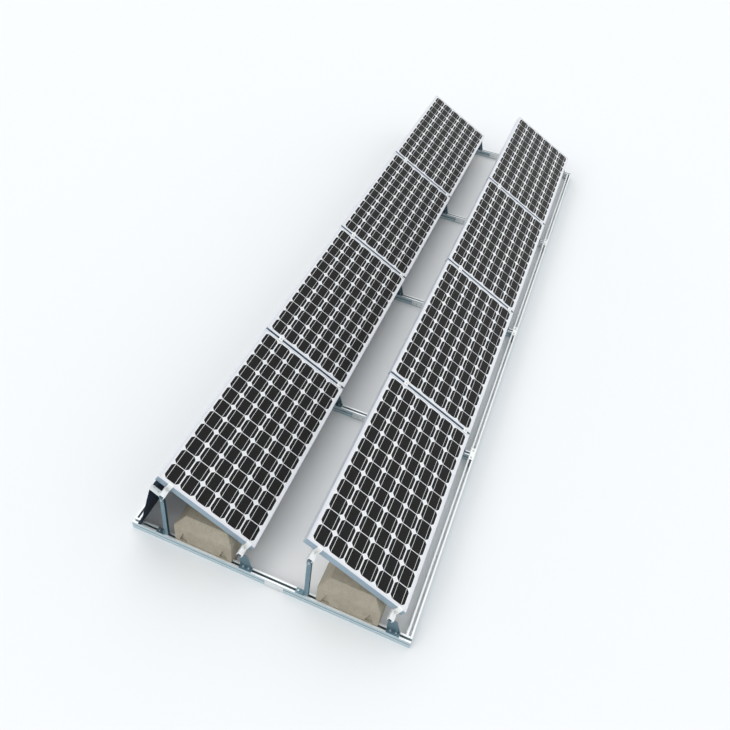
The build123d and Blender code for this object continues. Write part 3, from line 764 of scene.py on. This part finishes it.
supports = [(row, y) for row in ROWS for y in RAIL_YS]

clamp_bolts = bmesh.new()
for row, y in supports:
    end = outward(y)
    offset = -end * (END_RAIL_OFFSET - CLAMP_PLAY - CLAMP_THICKNESS - END_CLAMP_FOOT / 2)
    top = CLAMP_THICKNESS - (FRAME_DEPTH if end else 0)
    for place in (rear_seat_place(y), FRONT_SEAT):
        add_socket_bolt(clamp_bolts, module_matrix(row, y) @ Matrix.Translation((place, offset, top)))
piece("socket_bolts", clamp_bolts, "bolt", ["clamp_bolts"])

support_bolts = bmesh.new()
post_bolts = bmesh.new()
for row, y in supports:
    place = rear_seat_place(y)
    post_x, under = in_side_view(row, place, SEAT_BOTTOM - BRACKET_PLATE)
    post_top = under - POST_WIDTH / 2 * math.tan(TILT) - POST_TOP_CLEARANCE
    foot_inner = in_side_view(row, FRONT_SEAT, SEAT_BOTTOM - BRACKET_PLATE)[0] - FOOT_BASE_INNER
    level = RAIL_HEIGHT + BRACKET_PLATE
    on_rail = (
        post_x - POST_WIDTH / 2 - POST_BOLT_REACH,
        foot_inner + FOOT_BOLT_FROM_END,
        foot_inner + FOOT_BASE_LENGTH - FOOT_BOLT_FROM_END,
    )
    for x in on_rail:
        add_hex_bolt(support_bolts, facing((x, y, level), (0, 0, 1)), washer=False)
    front = y - POST_DEPTH / 2 - BRACKET_PLATE
    add_hex_bolt(post_bolts, facing((post_x, front, post_top - HEAD_OVERLAP / 2), (0, -1, 0)))
piece("support_hex_bolts", support_bolts, "bolt", ["support_bolts"])
piece("post_hex_bolts", post_bolts, "bolt", ["post_bolts"])

joint_bolts = bmesh.new()
for side in (-1, 1):
    for y in INNER_RAIL_YS:
        for offset in (-JOINT_BOLT_REACH, JOINT_BOLT_REACH):
            x = side * (GRID_WIDTH - RAIL_WIDTH) / 2
            place = (x, y + offset, RAIL_HEIGHT + JOINT_PLATE_THICKNESS)
            add_hex_bolt(joint_bolts, facing(place, (0, 0, 1)))
piece("joint_hex_bolts", joint_bolts, "bolt", ["joint_plate_bolts"])

# Bolts on both splice plates of an inner rail, on the inward one of an end rail, and on both
# legs of each corner angle.
side_bolts = bmesh.new()
corner_x = GRID_WIDTH / 2 - RAIL_WIDTH
middle = RAIL_HEIGHT / 2
for y in RAIL_YS:
    for side in (-1, 1):
        face = y + side * (RAIL_WIDTH / 2 + SPLICE_THICKNESS)
        if side == outward(y):
            continue
        for reach in SPLICE_BOLT_REACHES:
            add_hex_bolt(side_bolts, facing((SPLICE_X + reach, face, middle), (0, side, 0)))
    along = -1 if y > 0 else 1
    corner_y = y + along * RAIL_WIDTH / 2
    for side in (-1, 1):
        on_cross_rail = (side * (corner_x - ANGLE_BOLT_REACH), corner_y + along * ANGLE_THICKNESS, middle)
        on_side_rail = (side * (corner_x - ANGLE_THICKNESS), corner_y + along * ANGLE_BOLT_REACH, middle)
        add_hex_bolt(side_bolts, facing(on_cross_rail, (0, along, 0)))
        add_hex_bolt(side_bolts, facing(on_side_rail, (-side, 0, 0)))
piece("rail_hex_bolts", side_bolts, "bolt")

arm_bolts = bmesh.new()
level = SEAT_BOTTOM + ARM_THICKNESS
for y in RAIL_YS:
    inward = [side for side in (-1, 1) if side != outward(y)]
    places = [(rear_seat_place(y) - SEAT_WIDTH / 2 - ARM_LEDGE / 2, 0)]
    places += [(DEFLECTOR_BOLT_PLACE, side * DEFLECTOR_BOLT_OFFSET) for side in inward]
    for place, offset in places:
        add_hex_bolt(arm_bolts, module_matrix("left", y) @ Matrix.Translation((place, offset, level)))
piece("deflector_hex_bolts", arm_bolts, "bolt")


# ---- Floor, light and camera ----------------------------------------------------------------
FLOOR_REACH = 400.0
FLOOR_BELOW_PART = 0.0005

floor_look = Nodes("studio_floor")
floor_look.set(Base_Color=(0.88, 0.88, 0.88, 1.0), Roughness=0.8)
floor_corners = [(x * FLOOR_REACH, y * FLOOR_REACH, 0) for x, y in ((-1, -1), (1, -1), (1, 1), (-1, 1))]
floor_mesh = bpy.data.meshes.new("floor")
floor_mesh.from_pydata(floor_corners, [], [(0, 1, 2, 3)])
floor_mesh.materials.append(floor_look.material)
floor = bpy.data.objects.new("floor", floor_mesh)
floor.location = (0, 0, -FLOOR_BELOW_PART)
bpy.context.scene.collection.objects.link(floor)

world = bpy.data.worlds.new("studio")
bpy.context.scene.world = world
world.use_nodes = True
tree = world.node_tree
tree.nodes.clear()


def background(colour, strength):
    node = tree.nodes.new("ShaderNodeBackground")
    node.inputs["Color"].default_value = (*colour, 1.0)
    node.inputs["Strength"].default_value = strength
    return node.outputs["Background"]


output = tree.nodes.new("ShaderNodeOutputWorld")
soft = background((0.93, 0.97, 1.0), 0.84)
white = background((1.0, 1.0, 1.0), 1.0)
# The camera, reflections and clear parts all see the same white.
path = tree.nodes.new("ShaderNodeLightPath")
seen = path.outputs["Is Camera Ray"]
for ray in ("Is Glossy Ray", "Is Transmission Ray"):
    either = tree.nodes.new("ShaderNodeMath")
    either.operation = "MAXIMUM"
    tree.links.new(seen, either.inputs[0])
    tree.links.new(path.outputs[ray], either.inputs[1])
    seen = either.outputs[0]
choose = tree.nodes.new("ShaderNodeMixShader")
tree.links.new(seen, choose.inputs["Fac"])
tree.links.new(soft, choose.inputs[1])
tree.links.new(white, choose.inputs[2])
tree.links.new(choose.outputs["Shader"], output.inputs["Surface"])


def soft_sun(name, source, spread, strength, colour):
    """Even, broad light from one side, so that the floor stays equally pale out to its edge."""
    data = bpy.data.lights.new(name, "SUN")
    data.angle = math.radians(spread)
    data.energy = strength
    data.color = colour
    lamp = bpy.data.objects.new(name, data)
    lamp.rotation_mode = "QUATERNION"
    lamp.rotation_quaternion = (-Vector(source)).to_track_quat("-Z", "Y")
    bpy.context.scene.collection.objects.link(lamp)


soft_sun("overhead", source=(-0.3, 0.3, 1.0), spread=70.0, strength=0.72, colour=(1.0, 1.0, 1.0))
soft_sun("key", source=(-0.7, -0.8, 0.75), spread=35.0, strength=0.50, colour=(1.0, 0.97, 0.93))

camera_data = bpy.data.cameras.new("camera")
camera = bpy.data.objects.new("camera", camera_data)
bpy.context.scene.collection.objects.link(camera)
camera_data.sensor_fit = "HORIZONTAL"
camera_data.sensor_width = 36.0
camera_data.lens = 36.9
camera_data.shift_x = 0.026
camera_data.shift_y = -0.085
camera_data.dof.use_dof = False
camera.location = (1.09, -5.57, 4.895)
camera.rotation_mode = "XYZ"
camera.rotation_euler = (math.radians(48.32), math.radians(-4.92), math.radians(22.09))
bpy.context.scene.camera = camera

bpy.context.scene.view_settings.view_transform = "Standard"
